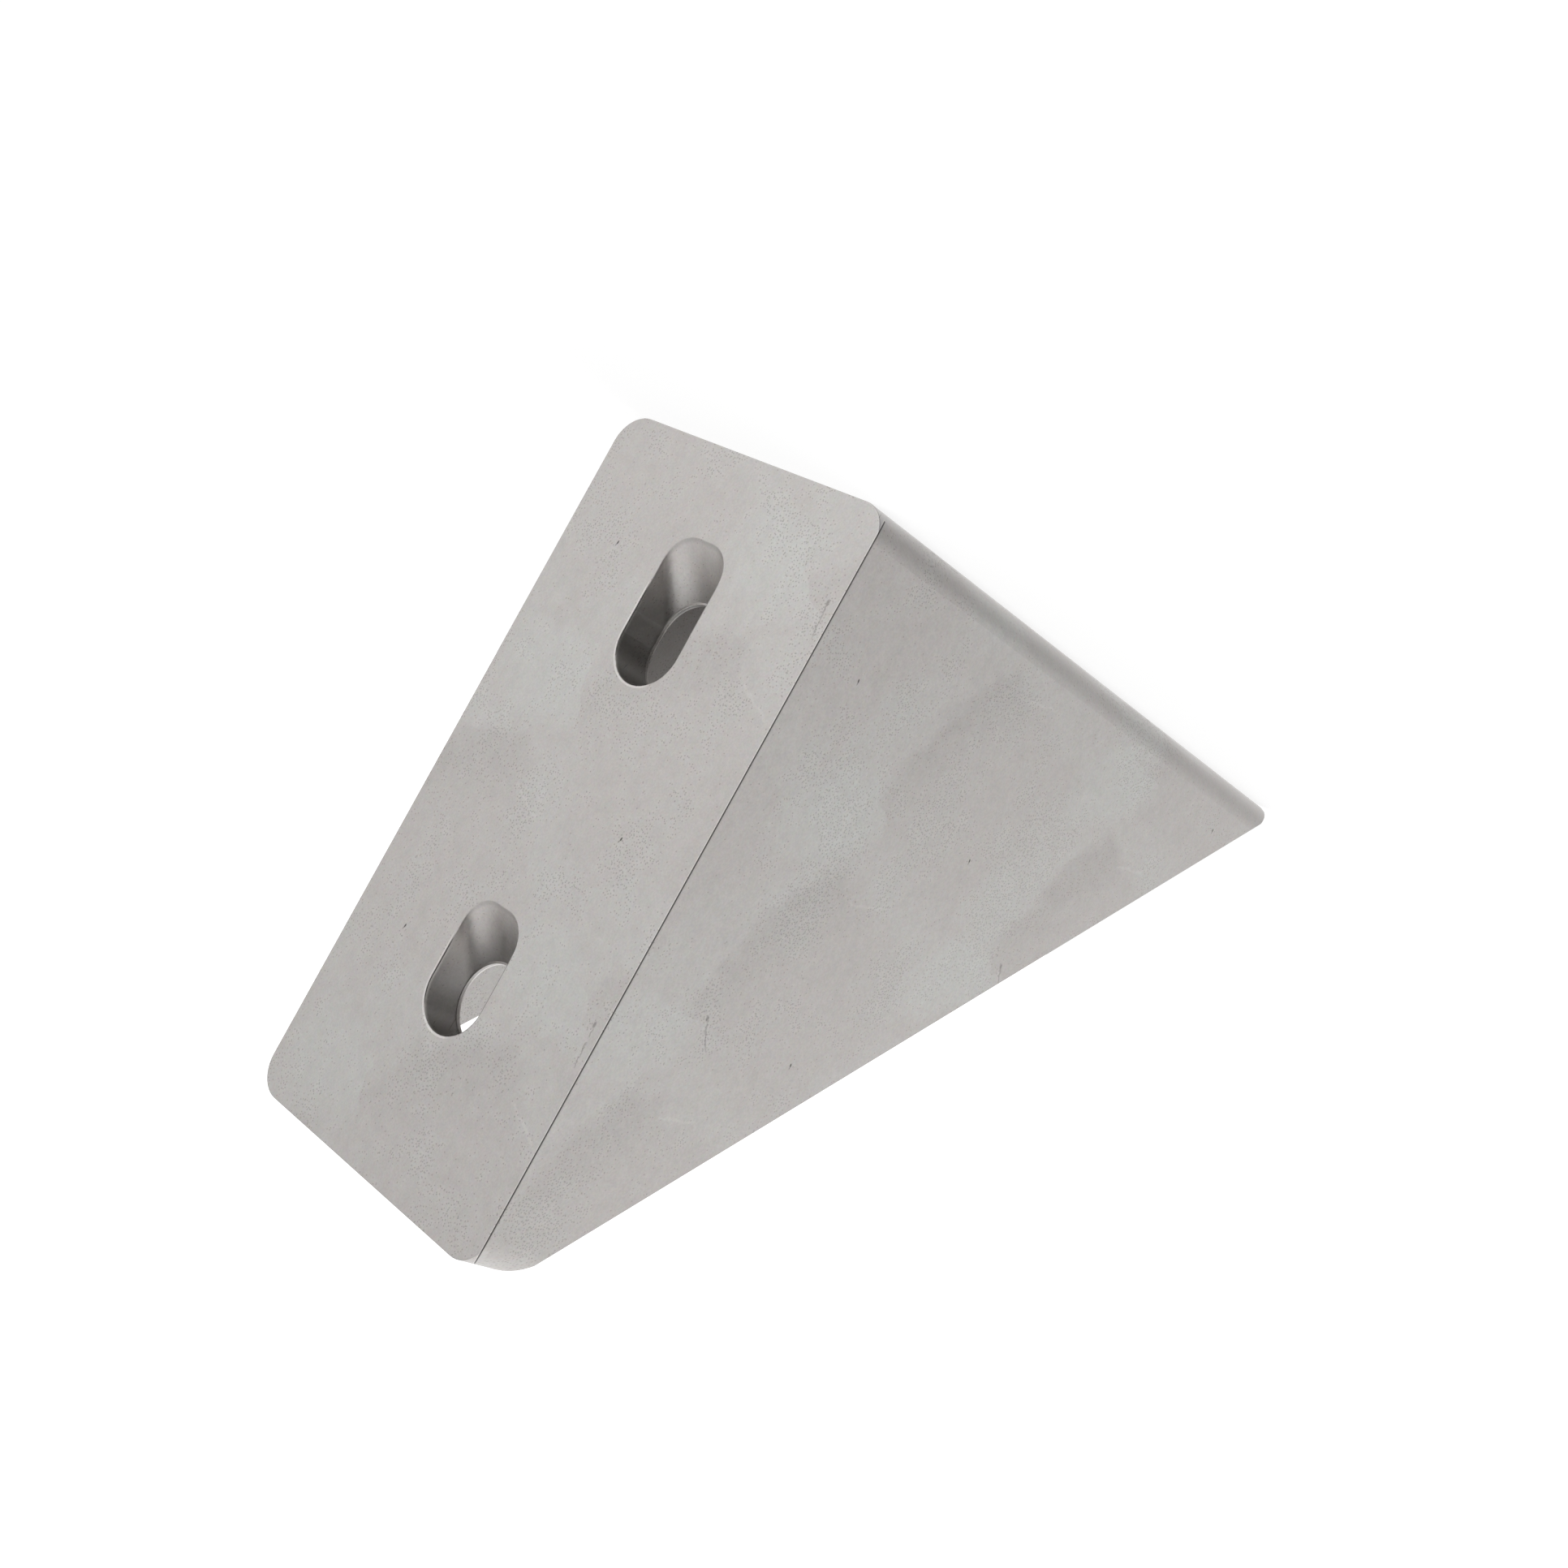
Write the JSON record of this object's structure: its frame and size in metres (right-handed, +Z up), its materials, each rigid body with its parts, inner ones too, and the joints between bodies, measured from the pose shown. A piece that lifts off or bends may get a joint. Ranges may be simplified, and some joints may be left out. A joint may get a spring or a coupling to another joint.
{
  "type": "t slot corner bracket",
  "caption": "Die-cast right-angle corner bracket with two slotted mounting faces and triangular side walls, for joining T-slot profile.",
  "frame": {"origin": "middle of the heel edge, where the two mounting faces meet", "axes": "+X along the low leg, Y across the width, +Z up the upright leg"},
  "size_m": [0.0847, 0.04, 0.08],
  "materials": {
    "cast_metal": "matte, as cast and blasted"
  },
  "bodies": {
    "root": {"bracket": "cast_metal"}
  },
  "joints": []
}
